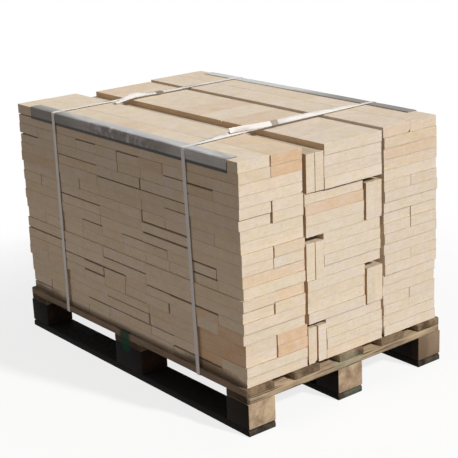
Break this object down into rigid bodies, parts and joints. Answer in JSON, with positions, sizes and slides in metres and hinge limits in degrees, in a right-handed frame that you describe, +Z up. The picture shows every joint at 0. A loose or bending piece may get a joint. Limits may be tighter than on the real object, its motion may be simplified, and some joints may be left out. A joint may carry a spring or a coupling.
{
  "type": "pallet of fireclay tiles",
  "caption": "Strapped load of flat fireclay tiles in crossing layers on a wooden block pallet, with edge protectors under the straps.",
  "frame": {"origin": "centre of the pallet's footprint, on the floor under the bottom boards", "axes": "+X along the pallet's long side, towards the end whose tile ends show; +Y across the pallet; +Z up"},
  "size_m": [1.2, 0.8026, 0.8302],
  "materials": {
    "fireclay": "matt, fine-pored fired clay",
    "deck_wood": "rough sawn, weathered grey",
    "pallet_wood": "rough sawn, weathered brown",
    "greyboard": "smooth laminated board, scuffed",
    "strap": "white polypropylene band, finely embossed",
    "seal": "zinc-plated sheet, dull"
  },
  "bodies": {
    "root": {"deck_board_1": "deck_wood", "deck_board_2": "deck_wood", "deck_board_3": "deck_wood", "deck_board_4": "deck_wood", "deck_board_5": "deck_wood", "stringer_board_rear": "pallet_wood", "stringer_board_middle": "pallet_wood", "stringer_board_front": "pallet_wood", "block_left_rear": "pallet_wood", "block_centre_rear": "pallet_wood", "block_right_rear": "pallet_wood", "block_left_middle": "pallet_wood", "block_centre_middle": "pallet_wood", "block_right_middle": "pallet_wood", "block_left_front": "pallet_wood", "block_centre_front": "pallet_wood", "block_right_front": "pallet_wood", "bottom_board_left": "pallet_wood", "bottom_board_centre": "pallet_wood", "bottom_board_right": "pallet_wood", "tile_layer_01": "fireclay", "tile_layer_02": "fireclay", "tile_layer_03": "fireclay", "tile_layer_04": "fireclay", "tile_layer_05": "fireclay", "tile_layer_06": "fireclay", "tile_layer_07": "fireclay", "tile_layer_08": "fireclay", "tile_layer_09": "fireclay", "tile_layer_10": "fireclay", "tile_layer_11": "fireclay", "tile_layer_12": "fireclay", "tile_layer_13": "fireclay", "tile_layer_14": "fireclay", "tile_layer_15": "fireclay", "tile_layer_16": "fireclay", "tile_layer_17": "fireclay", "tile_layer_18": "fireclay", "tile_layer_19": "fireclay", "tile_layer_20": "fireclay", "upright_tiles_1": "fireclay", "upright_tiles_2": "fireclay", "upright_tiles_3": "fireclay", "upright_tiles_4": "fireclay", "upright_tiles_5": "fireclay", "edge_protector_left": "greyboard", "edge_protector_right": "greyboard", "strap_rear": "strap", "strap_front": "strap", "seal_rear": "seal", "seal_front": "seal"}
  },
  "joints": []
}
